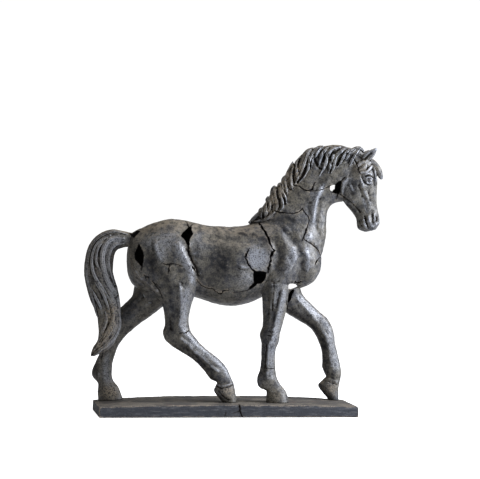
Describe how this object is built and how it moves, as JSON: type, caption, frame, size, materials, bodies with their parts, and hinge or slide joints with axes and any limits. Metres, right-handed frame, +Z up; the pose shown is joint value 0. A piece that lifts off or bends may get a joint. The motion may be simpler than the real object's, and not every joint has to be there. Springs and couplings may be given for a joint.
{
  "type": "horse sculpture",
  "caption": "Decorative sculpture of a walking horse with a waved mane and long tail, its weathered cast skin cracked and broken through, standing on a low slab plinth.",
  "frame": {"origin": "centre of the plinth's underside", "axes": "+X along the plinth toward the horse's head, +Y across it away from the side with the broken holes, +Z up"},
  "size_m": [0.5962, 0.14, 0.5374],
  "materials": {
    "horse_skin": "hollow cast resin with a worn pewter-grey patina, brown-black in the recesses, satin on the worn ridges",
    "plinth_slab": "cast resin, dark blue-grey edges and a brown-grey top, streaked and flecked with pale dust"
  },
  "bodies": {
    "root": {"horse": "horse_skin", "plinth": "plinth_slab"}
  },
  "joints": []
}
